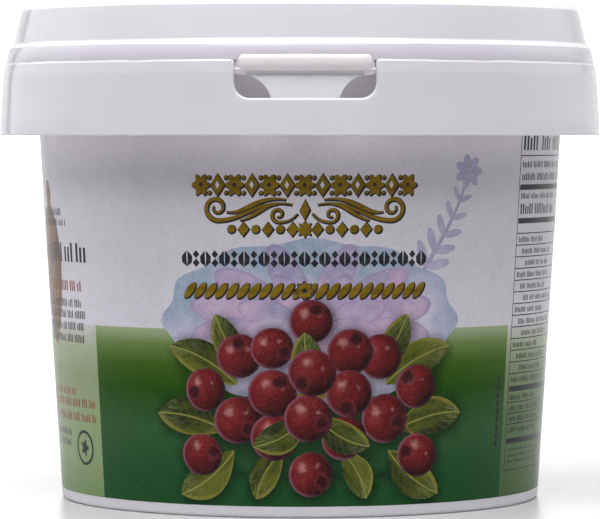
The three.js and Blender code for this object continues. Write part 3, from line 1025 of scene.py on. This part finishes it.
def draw_left_side(drawing):
    drawing.box("side_green", SEAM, FRONT_LEFT, 0, PANEL_TOP)
    stem = arc(-76)
    profile = (
        (0, 66), (1.2, 65.5), (2.2, 63.5), (1.7, 61), (5.2, 57.5), (7.2, 50), (6.0, 41), (2.6, 33.5), (0, 32),
    )
    spindle = [(stem + s, z) for s, z in profile] + [(stem - s, z) for s, z in profile[-2:0:-1]]
    drawing.add("wood", spindle, (stem, 49), 0, 7.2, 17)
    start = SEAM + 12
    for ink, end, z, height, longest in (
        ("dark_ink", -61.0, 58.7, 1.6, 6), ("dark_ink", -58.4, 56.7, 1.3, 6),
        ("dark_ink", -50.2, 49.4, 3.9, 9), ("red_ink", -53.0, 43.5, 2.1, 7),
        ("dark_ink", -53.3, 40.2, 1.6, 5), ("dark_ink", -51.0, 37.9, 1.6, 5),
        ("dark_ink", -52.2, 35.5, 1.6, 5), ("dark_ink", -51.5, 33.0, 1.6, 5),
        ("red_ink", -58.0, 22.1, 1.5, 5), ("red_ink", -50.0, 19.8, 1.75, 5),
        ("red_ink", -50.2, 16.9, 1.75, 5), ("dark_ink", -62.0, 13.7, 1.4, 5),
        ("dark_ink", -62.0, 11.5, 1.4, 5),
    ):
        drawing.words(ink, start, end, z, height, longest)
    stamp = (-55.7, 11.6)
    drawing.blob("dark_ink", *stamp, 3.8, 3.6)
    drawing.blob("side_green", *stamp, 3.1, 3.0)
    drawing.blob("dark_ink", *stamp, 1.7, 1.8, lobes=5, depth=0.45)


def draw_right_side(drawing):
    left = FRONT_RIGHT
    drawing.box("side_green", left, FRONT_LEFT + BACK_SHIFT, 0, PANEL_TOP)
    near, far, low, high = left + 1.4, left + 54, 7.1, 77.2
    thin, thick, line_pitch, small_pitch = 0.22, 1.1, 2.37, 2.2

    def words(start, end, z, height, *spacing):
        drawing.words("dark_ink", start, end, z, height, *spacing)

    for s in (near, far):
        drawing.box("dark_ink", s, s + thin, low, high)
    rules = [low, high - thin, 70.9] + [55.2 - line_pitch * k for k in range(13)]
    rules += [20.9 - small_pitch * k for k in range(3)]
    for z in rules:
        drawing.box("dark_ink", near, far, z, z + thin)
    for z in (64.1, 57.3, 23.2, 12.6):
        drawing.box("dark_ink", near + 0.4, far - 0.4, z, z + thick)
    words(near + 1, far - 4, 72.1, 3.2, 12, 1.4)
    words(near + 1, near + 30, 68.6, 1.3, 6)
    words(near + 1, near + 34, 66.0, 1.5, 7)
    words(near + 1, near + 20, 62.3, 1.1, 5)
    words(near + 1, near + 20, 59.2, 2.1, 12)
    words(far - 10, far - 2, 59.2, 2.1, 8)
    for k in range(13):
        indent = 1 + 1.6 * ((k * 7) % 3)
        z = 53.5 - line_pitch * k
        words(near + indent, near + indent + 12 + (k * 5) % 9, z, 1.1, 5)
        words(far - 6, far - 1.5, z, 1.1, 4)
    for k in range(4):
        words(near + 1, near + 14 + (k * 5) % 7, 21.5 - small_pitch * k, 1.05, 5)
    for k in range(3):
        words(near + 1, far - 3, 11.1 - 1.2 * k, 0.55, 5)


def draw_label():
    drawing = Drawing()
    draw_left_side(drawing)
    draw_right_side(drawing)
    for shift in (0, BACK_SHIFT):
        drawing.shift = shift
        draw_front(drawing)
    return drawing


def make_label():
    """Cuts the sleeve's outer face along every shape's edge and gives each piece its ink."""
    drawing = draw_label()
    left, right = SEAM + SEAM_GAP / 2, SEAM + ROUND - SEAM_GAP / 2
    past = 0.06  # the print runs a hair past the solid label's edges
    low, high = LABEL_BOTTOM - past, LABEL_TOP + past
    columns, rows = TURNS, 20
    spots = [left + (right - left) * k / columns for k in range(columns + 1)]
    frame_line = [(s, low) for s in spots] + [(s, high) for s in reversed(spots)]
    points = [Vector(p) for p in frame_line]
    loops = [list(range(len(frame_line)))]
    for _, outline, _ in drawing.shapes:
        loops.append(list(range(len(points), len(points) + len(outline))))
        points += [Vector((min(max(s, left), right), min(max(z, low), high))) for s, z in outline]
    points += [Vector((s, low + (high - low) * j / rows)) for s in spots[1:-1] for j in range(1, rows)]
    points += [Vector(p) for p in drawing.loose]
    flat, _, triangles, _, _, owners = geometry.delaunay_2d_cdt(points, [], loops, 1, 1e-5, True)
    return dress_label(drawing, flat, triangles, owners)


def dress_label(drawing, flat, triangles, owners):
    """Bends the cut face round the tub, closes it with a back and edges, and stores its print."""
    edges = dict.fromkeys((a, b) for tri in triangles for a, b in zip(tri, tri[1:] + tri[:1]))
    border = [(a, b) for a, b in edges if (b, a) not in edges]
    rim = {}
    verts = [around(wall_radius(p.y), math.degrees(p.x / R_REF), p.y) for p in flat]
    for a, _ in border:
        rim[a] = len(verts)
        p = flat[a]
        verts.append(around(wall_radius(p.y) - LABEL_THICKNESS, math.degrees(p.x / R_REF), p.y))
    follow = dict(border)
    ring = [border[0][0]]
    while follow[ring[-1]] != ring[0]:
        ring.append(follow[ring[-1]])
    _, _, back, origin, _, _ = geometry.delaunay_2d_cdt(
        [flat[i] for i in ring], [], [list(range(len(ring)))], 1, 1e-5, True)
    faces = [tuple(t) for t in triangles]
    inks = []
    loops = []
    for tri, own in zip(triangles, owners):
        top = max(own)
        ink, frame = (0, None) if top == 0 else (drawing.shapes[top - 1][0], drawing.shapes[top - 1][2])
        inks.append(ink)
        loops += [local(frame, flat[i]) for i in tri]
    for tri in back:
        faces.append(tuple(rim[ring[origin[i][0]]] for i in reversed(tri)))
    for a, b in border:
        faces.append((b, a, rim[a], rim[b]))
    inks += [INKS.index("film")] * (len(faces) - len(triangles))
    label = make_object("label_sleeve", verts, faces, [LABEL_MATERIALS[ink] for ink in INKS])
    mesh = label.data
    assert len(mesh.polygons) == len(faces), "the label's mesh lost faces"
    mesh.polygons.foreach_set("material_index", inks)
    loops += [(0.0, 0.0, 0.0)] * (len(mesh.loops) - len(loops))
    spread = [(p.x, p.y, shade_at(drawing.discs, p)) for p in flat]
    spread += [(flat[i].x, flat[i].y, 0.0) for i in rim]
    store(mesh, "motif", "CORNER", loops)
    store(mesh, "flat", "POINT", spread)
    follow_wall(mesh, verts, len(triangles), len(back))
    return label


def store(mesh, name, domain, values):
    attribute = mesh.attributes.new(name, "FLOAT_VECTOR", domain)
    attribute.data.foreach_set("vector", [c for value in values for c in value])


def follow_wall(mesh, verts, front_count, back_count):
    """Gives the front and back faces, which come first, the wall's own normals."""
    tilt = Vector((1, -TAPER)).normalized()
    normals = []
    for poly in mesh.polygons:
        for i in poly.vertices:
            out = Vector((verts[i][0], verts[i][1], 0)).normalized()
            skin = Vector((out.x * tilt.x, out.y * tilt.x, tilt.y))
            if poly.index < front_count:
                normals.append(skin)
            elif poly.index < front_count + back_count:
                normals.append(-skin)
            else:
                normals.append(poly.normal.copy())
    mesh.normals_split_custom_set(normals)


def local(frame, point):
    """A point in a shape's own coordinates: along it, across it, and the shape's random number."""
    if frame is None:
        return (0.0, 0.0, 0.0)
    s, z, cos, sin, length, width, bend, seed = frame
    ds, dz = point.x - s, point.y - z
    u = (ds * cos + dz * sin) / length
    v = (dz * cos - ds * sin - bend * length * 4 * u * (1 - u)) / width
    return (u, v, seed)


def shade_at(discs, point):
    """How dark the soft shadow of the printed fruit is at a point of the label."""
    reach = 2.2
    darkest = 0.0
    for s, z, radius in discs:
        ds, dz = point.x - s - 0.35, point.y - z + 0.5
        if abs(ds) < radius + reach and abs(dz) < radius + reach:
            away = math.hypot(ds, dz) - radius
            darkest = max(darkest, 1 - max(0.0, away) / reach)
    return max(0.0, darkest)


# Label materials

def finish_film(shader, colour, shaded=True):
    """Print grain, contact shadow and the film's soft gloss."""
    place = shader.place()
    grain = shader.noise(place, 3400, 2, 0.7)
    mottle = shader.noise(place, 260, 2)
    light = shader.plus(
        shader.span(grain, 0.3, 0.7, 0.86, 1.1), shader.span(mottle, 0.3, 0.7, -0.025, 0.02))
    if shaded:
        depth = shader.math("POWER", shader.attribute("flat")[2], 1.4)
        light = shader.times(light, shader.span(depth, 0, 1, 1.0, 0.34))
    toned = shader.mix(1.0, colour, shader.point(light, light, light), "MULTIPLY")
    shader.set(
        Base_Color=shader.mix(shader.span(grain, 0.5, 0.75, 0, 0.035), toned, (0.45, 0.45, 0.45)),
        Roughness=shader.span(shader.noise(place, 90, 3), 0.3, 0.7, 0.15, 0.21),
        Specular_IOR_Level=0.1,
        IOR=1.48,
    )
    peel = shader.noise(place, 700, 2)
    wave = shader.noise(shader.scaled(place, (1, 1, 0.35)), 55, 1)
    shader.bump((wave, 0.00025), (peel, 0.000012), (grain, 0.000003))
    return shader.material


def ground(shader, *stops):
    """A vertical run of colours given as (height, colour), by the print's height."""
    z = shader.attribute("flat")[1]
    low, high = stops[0][0], stops[-1][0]
    spread = [((height - low) / (high - low), colour) for height, colour in stops]
    return shader.ramp(shader.span(z, low, high), *spread)


def paper_material():
    shader = Shader("label_paper")
    # From 71 mm up, under the collar, the run is painted lighter: painted light that lifts the collar's
    # shade.
    colour = ground(
        shader, (30, (0.58, 0.56, 0.62)), (41, (0.57, 0.55, 0.61)), (50, (0.54, 0.52, 0.575)),
        (61, (0.565, 0.54, 0.595)), (68, (0.545, 0.515, 0.57)), (71, (0.60, 0.565, 0.62)),
        (75, (0.70, 0.665, 0.71)), (80, (0.71, 0.68, 0.72)),
    )
    # Lighter towards and over the left side: painted light.
    s = shader.attribute("flat")[0]
    return finish_film(shader, shader.mix(shader.span(s, -34, -52), colour, (1.12, 1.12, 1.12), "MULTIPLY"))


def front_green_material():
    shader = Shader("label_front_green")
    colour = ground(
        shader, (2.3, (0.010, 0.068, 0.017)), (7.6, (0.010, 0.069, 0.019)), (17.4, (0.025, 0.091, 0.027)),
        (25.3, (0.013, 0.069, 0.001)), (30.2, (0.037, 0.101, 0.006)), (34.1, (0.122, 0.197, 0.055)),
        (37.5, (0.33, 0.39, 0.24)),
    )
    return finish_film(shader, colour)


def side_green_material():
    shader = Shader("label_side_green")
    colour = ground(
        shader, (2.3, (0.163, 0.256, 0.102)), (9.6, (0.224, 0.306, 0.15)), (20, (0.26, 0.333, 0.176)),
        (27.2, (0.255, 0.312, 0.175)), (33, (0.365, 0.405, 0.285)), (37.5, (0.56, 0.55, 0.59)),
    )
    s, z, _ = shader.attribute("flat")
    # The right side panel is multiplied darker in its lower part: painted shade.
    right = shader.times(shader.span(s, -20, 20), shader.span(z, 38, 18))
    return finish_film(shader, shader.mix(right, colour, (0.34, 0.445, 0.34), "MULTIPLY"))


def wash_material(name, edge, *tints):
    """Watercolour: cloudy tints that gather in a darker line at the shape's edge."""
    shader = Shader(name)
    u, v, seed = shader.attribute("motif")
    s, z, _ = shader.attribute("flat")
    spot = shader.point(s, z, shader.times(seed, 40))
    cloud = shader.noise(spot, 0.075, 3, 0.6)
    fine = shader.noise(spot, 0.5, 4, 0.65)
    place = shader.plus(shader.span(cloud, 0.3, 0.7), shader.span(z, 55, 28, -0.6, 0.3))
    colour = shader.ramp(place, *tints)
    line = shader.span(shader.length(u, v), 0.80, 0.97, 0, 1, smooth=True)
    wet = shader.times(line, shader.span(fine, 0.35, 0.65, 0.15, 0.7))
    colour = shader.mix(wet, colour, edge)
    colour = shader.mix(shader.span(fine, 0.45, 0.8, 0, 0.3), colour, (0.66, 0.65, 0.69))
    return finish_film(shader, colour)


def fruit_material():
    """Round dark red fruit lit from the upper left, each with a dark crown turned its own way."""
    shader = Shader("label_fruit")
    u, v, seed = shader.attribute("motif")
    radius = shader.length(u, v)
    below = shader.minus(1, shader.math("POWER", radius, 2))
    depth = shader.math("SQRT", shader.math("MAXIMUM", below, 0))
    lit = shader.times(u, -0.4)
    lit = shader.plus(lit, shader.times(v, 0.42))
    lit = shader.plus(lit, shader.times(depth, 0.75))
    spot = shader.point(u, v, shader.times(seed, 30))
    blotch = shader.noise(spot, 1.6, 3, 0.6)
    lit = shader.plus(lit, shader.span(blotch, 0.3, 0.7, -0.2, 0.2))
    colour = shader.ramp(
        shader.span(lit, -0.1, 1.05), (0.0, (0.012, 0.003, 0.005)), (0.35, (0.06, 0.007, 0.008)),
        (0.7, (0.125, 0.010, 0.012)), (1.0, (0.205, 0.024, 0.022)))
    dots = shader.span(shader.noise(spot, 11, 1), 0.68, 0.74, 0, 0.3, smooth=True)
    colour = shader.mix(dots, colour, (0.32, 0.12, 0.11))

    def near(cu, cv, low, high):
        away = shader.length(shader.minus(u, cu), shader.minus(v, cv))
        away = shader.plus(away, shader.span(shader.noise(spot, 5, 2), 0.3, 0.7, -0.08, 0.08))
        return shader.span(away, low, high, 1, 0, smooth=True)

    turn = shader.times(seed, 21)
    crown = [shader.times(shader.math(wave, turn), 0.6) for wave in ("COSINE", "SINE")]
    for place, low, high, share, tint in (
        ((-0.3, 0.4), 0.0, 0.3, 0.5, (0.56, 0.30, 0.30)),
        ((0.4, 0.25), 0.0, 0.14, 0.35, (0.5, 0.26, 0.25)),
        (crown, 0.3, 0.44, 0.5, (0.15, 0.025, 0.03)),
        (crown, 0.16, 0.36, 0.85, (0.018, 0.004, 0.006)),
    ):
        colour = shader.mix(shader.times(near(*place, low, high), share), colour, tint)
    left = shader.span(u, 0.1, -0.8, 0.1, 0.75)
    rim = shader.times(shader.span(radius, 0.84, 0.98, 0, 1, smooth=True), left)
    colour = shader.mix(rim, colour, (0.24, 0.09, 0.14))
    return finish_film(shader, colour, shaded=False)


def leaf_material():
    """Olive leaves with a pale midrib, slanting side veins and a thin light edge."""
    shader = Shader("label_leaf")
    u, v, seed = shader.attribute("motif")
    spot = shader.point(u, v, shader.times(seed, 30))
    blotch = shader.noise(spot, 2.2, 3, 0.6)
    side = shader.math("ABSOLUTE", v)
    tone = shader.plus(blotch, shader.times(v, 0.16))
    tone = shader.plus(tone, shader.times(shader.minus(seed, 0.5), 0.25))
    colour = shader.ramp(
        shader.span(tone, 0.25, 0.75), (0.0, (0.015, 0.024, 0.008)), (0.5, (0.058, 0.069, 0.009)),
        (1.0, (0.108, 0.122, 0.018)))
    worn = shader.span(shader.noise(spot, 9, 2), 0.45, 0.6, 0, 0.5)
    tip = shader.times(shader.span(u, 0.6, 1.0), worn)
    colour = shader.mix(tip, colour, (0.26, 0.31, 0.13))
    comb = shader.minus(shader.times(u, 8), shader.times(side, 1.7))
    vein = shader.span(shader.math("PINGPONG", comb, 0.5), 0.0, 0.07, 0.4, 0.0, smooth=True)
    colour = shader.mix(vein, colour, (0.16, 0.165, 0.045))
    colour = shader.mix(shader.span(side, 0.02, 0.07, 0.85, 0.0, smooth=True), colour, (0.25, 0.235, 0.055))
    outline = shader.times(shader.math("SINE", shader.times(u, math.pi)), 0.92)
    edge = shader.span(shader.minus(v, outline), -0.08, 0.0, 0, 0.55, smooth=True)
    colour = shader.mix(edge, colour, (0.24, 0.205, 0.035))
    return finish_film(shader, colour, shaded=False)


def gold_material():
    shader = Shader("label_gold")
    s, z, _ = shader.attribute("flat")
    sheen = shader.noise(shader.scaled(shader.point(s, z, 0.0), (0.4, 1.6, 1)), 0.6, 2)
    colour = shader.ramp(
        shader.span(sheen, 0.3, 0.7), (0.0, (0.13, 0.076, 0.001)), (1.0, (0.22, 0.14, 0.008)))
    return finish_film(shader, colour, shaded=False)


def flat_ink_material(name, colour, other):
    shader = Shader(name)
    mottled = shader.mix(shader.span(shader.noise(shader.place(), 900, 2), 0.35, 0.65), colour, other)
    return finish_film(shader, mottled, shaded=False)


def wood_material():
    """Turned wood with grain along its height, darker at both sides."""
    shader = Shader("label_wood")
    u, v, _ = shader.attribute("motif")
    grain = shader.noise(shader.point(shader.times(u, 6), v, 0.0), 2.2, 4, 0.6)
    colour = shader.ramp(
        shader.span(grain, 0.36, 0.64), (0.0, (0.075, 0.036, 0.022)), (1.0, (0.36, 0.22, 0.155)))
    side = shader.span(shader.math("ABSOLUTE", u), 0.3, 1.0, 0, 0.6, smooth=True)
    return finish_film(shader, shader.mix(side, colour, (0.12, 0.06, 0.035)), shaded=False)


LABEL_MATERIALS = {
    "paper": paper_material(),
    "front_green": front_green_material(),
    "side_green": side_green_material(),
    "wash": wash_material(
        "label_wash", (0.28, 0.32, 0.47), (0.0, (0.26, 0.33, 0.42)), (0.3, (0.36, 0.37, 0.49)),
        (0.65, (0.50, 0.46, 0.59)), (1.0, (0.50, 0.53, 0.54))),
    "petal": wash_material(
        "label_petal", (0.22, 0.15, 0.34), (0.0, (0.29, 0.26, 0.40)), (0.5, (0.46, 0.33, 0.47)),
        (1.0, (0.43, 0.41, 0.55))),
    "sprig": wash_material(
        "label_sprig", (0.26, 0.22, 0.37), (0.0, (0.35, 0.32, 0.45)), (1.0, (0.43, 0.39, 0.53))),
    "fruit": fruit_material(),
    "leaf": leaf_material(),
    "twig": flat_ink_material("label_twig", (0.20, 0.12, 0.03), (0.10, 0.075, 0.02)),
    "gold": gold_material(),
    "dark_ink": flat_ink_material("label_dark_ink", (0.014, 0.013, 0.016), (0.03, 0.028, 0.034)),
    "red_ink": flat_ink_material("label_red_ink", (0.19, 0.032, 0.012), (0.26, 0.06, 0.03)),
    "wood": wood_material(),
    "film": flat_ink_material("label_film", (0.78, 0.77, 0.80), (0.82, 0.81, 0.84)),
}


# The preserves

def make_preserves():
    """Fruit in dark syrup, from just above the floor to the level under the lid."""
    bottom, level = 3.5, 85.4
    syrup = level - 0.9
    side = CLEARANCE + 0.05
    profile = rounded([
        (0, bottom, 0), (bore_radius(bottom) - side, bottom, 2.0),
        (bore_radius(level) - side, level - 0.3, 0.2), (bore_radius(level) - side - 1.8, syrup, 0.8),
    ])
    steps = 26
    inner = profile[-1].x
    profile += [Vector((inner * (1 - k / steps), syrup)) for k in range(1, steps + 1)]
    rng = random.Random(3)
    count = 70
    heaps = []
    for k in range(count):
        reach = (inner - 4.5) * math.sqrt((k + 0.5) / count)
        turn = k * math.pi * (3 - math.sqrt(5))
        radius, drop = rng.uniform(4.2, 5.2), rng.uniform(-3.9, -2.3)
        heaps.append((reach * math.sin(turn), -reach * math.cos(turn), radius, drop))

    def warp(degrees, r, z):
        if z < level - 1.2 or r > inner - 0.01:
            return r, z
        x, y, _ = around(r, degrees, 0)
        top = z
        for cx, cy, radius, drop in heaps:
            gap = radius * radius - (x - cx) ** 2 - (y - cy) ** 2
            if gap > 0:
                top = max(top, level + drop + math.sqrt(gap))
        return r, min(top, level + 1.5)

    preserves = turned("fruit_in_syrup", profile, [preserves_material()], warp=warp, turns=160)
    face_outward(preserves)
    even_normals(preserves, 60)
    return preserves


def preserves_material():
    shader = Shader("fruit_preserves")
    place = shader.place()
    blotch = shader.noise(place, 110, 4, 0.6)
    colour = shader.ramp(
        shader.span(blotch, 0.3, 0.7), (0.0, (0.05, 0.004, 0.006)), (0.6, (0.16, 0.012, 0.014)),
        (1.0, (0.30, 0.03, 0.02)))
    shader.set(
        Base_Color=colour,
        Roughness=shader.span(blotch, 0.3, 0.7, 0.08, 0.2),
        IOR=1.45,
        Subsurface_Weight=0.15,
        Subsurface_Radius=(0.004, 0.0008, 0.0006),
        Subsurface_Scale=1.0,
    )
    shader.bump((shader.noise(place, 260, 3), 0.0003), (shader.noise(place, 1400, 2), 0.00003))
    return shader.material


tub = make_tub()
lid = make_lid()
tear_tab = make_tear_tab()
label = make_label()
preserves = make_preserves()

for piece, node, slot in (
    (tub, "tub", "tub_plastic"), (lid, "lid", "lid_plastic"), (tear_tab, "tear_tab", "tab_plastic"),
    (label, "label", "label_film"), (preserves, "preserves", "fruit_preserves"),
):
    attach(piece, "root")
    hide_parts(node)


# Floor, light and camera

def make_floor():
    half = 4000
    corners = [(-half, -half, 0), (half, -half, 0), (half, half, 0), (-half, half, 0)]
    floor = make_object("floor", corners, [(0, 1, 2, 3)], smooth=False)
    shader = Shader("pale_floor")
    shader.set(Base_Color=(0.56, 0.56, 0.565), Roughness=0.35)
    floor.data.materials.append(shader.material)


def make_light():
    """A soft light high in front, and a white backdrop: its bright core behind the tub, a panel at each
    side, a dark gap at the left one, and a thin bright horizon. Angles aside are in radians, and the
    pairs are where a light fades in or out."""
    world = bpy.data.worlds.new("studio")
    world.use_nodes = True
    nodes, links = world.node_tree.nodes, world.node_tree.links

    def run(value, low, high, to_low, to_high):
        fade = nodes.new("ShaderNodeMapRange")
        fade.interpolation_type = "SMOOTHSTEP"
        links.new(value, fade.inputs["Value"])
        for name, number in (("From Min", low), ("From Max", high), ("To Min", to_low), ("To Max", to_high)):
            fade.inputs[name].default_value = number
        return fade.outputs[0]

    def join(operation, a, b):
        made = nodes.new("ShaderNodeMath")
        made.operation = operation
        links.new(a, made.inputs[0])
        links.new(b, made.inputs[1])
        return made.outputs[0]

    def vector_math(operation, vector, other=(0, 0, 0), output="Vector"):
        made = nodes.new("ShaderNodeVectorMath")
        made.operation = operation
        links.new(vector, made.inputs[0])
        made.inputs[1].default_value = other
        return made.outputs[output]

    def panel(strength, rise, fall):
        return join("MULTIPLY", run(aside, *rise, 0, strength), run(aside, *fall, 1, 0))

    direction = nodes.new("ShaderNodeTexCoord").outputs["Generated"]
    split = nodes.new("ShaderNodeSeparateXYZ")
    links.new(direction, split.inputs[0])
    up = split.outputs["Z"]
    aside = join("ARCTAN2", split.outputs["X"], split.outputs["Y"])
    before_gap, past_gap = (-0.575, -0.53), (-0.5, -0.455)
    left = panel(1.4, (-1.9, -1.2), before_gap)
    middle = panel(0.8, past_gap, (0.5, 0.8))
    behind = panel(2.4, (-0.13, -0.09), (0.09, 0.13))
    right = panel(1.12, (0.5, 0.8), (1.2, 1.9))
    panels = join("MAXIMUM", join("MAXIMUM", left, middle), join("MAXIMUM", behind, right))
    backdrop = join("MULTIPLY", panels, run(up, 0.5, 0.65, 1, 0))
    beside_gap = join("MAXIMUM", run(aside, *before_gap, 1, 0), run(aside, *past_gap, 0, 1))
    horizon = join("MULTIPLY", run(up, 0.08, 0.1, 1.05, 0.1), beside_gap)
    flattened = vector_math("NORMALIZE", vector_math("MULTIPLY", direction, (0.6, 1, 1)))
    lamp_place = Vector((-0.045, -0.37, 1)).normalized()
    toward_lamp = vector_math("DOT_PRODUCT", flattened, lamp_place, "Value")
    lamp = run(toward_lamp, 0.905, 0.94, 0, 6.1)
    total = join("ADD", join("MAXIMUM", backdrop, horizon), lamp)
    links.new(total, nodes["Background"].inputs["Strength"])
    nodes["Background"].inputs["Color"].default_value = (1, 1, 1, 1)
    bpy.context.scene.world = world


CAMERA_DISTANCE = 0.7884
CAMERA_HEIGHT = 0.07605
CAMERA_AZIMUTH = -0.97
CAMERA_PITCH = 1.937
FOCAL_PIXELS = 3759
FRAME_WIDTH = 600


def make_camera():
    data = bpy.data.cameras.new("camera")
    data.sensor_width = 36
    data.lens = FOCAL_PIXELS / FRAME_WIDTH * data.sensor_width
    data.clip_start, data.clip_end = 0.05, 20
    camera = bpy.data.objects.new("camera", data)
    turn = math.radians(CAMERA_AZIMUTH)
    camera.location = (
        CAMERA_DISTANCE * math.sin(turn), -CAMERA_DISTANCE * math.cos(turn), CAMERA_HEIGHT)
    camera.rotation_euler = (math.radians(90 - CAMERA_PITCH), 0, turn)
    bpy.context.scene.collection.objects.link(camera)
    bpy.context.scene.camera = camera


make_floor()
make_light()
make_camera()
bpy.context.scene.view_settings.view_transform = "Standard"
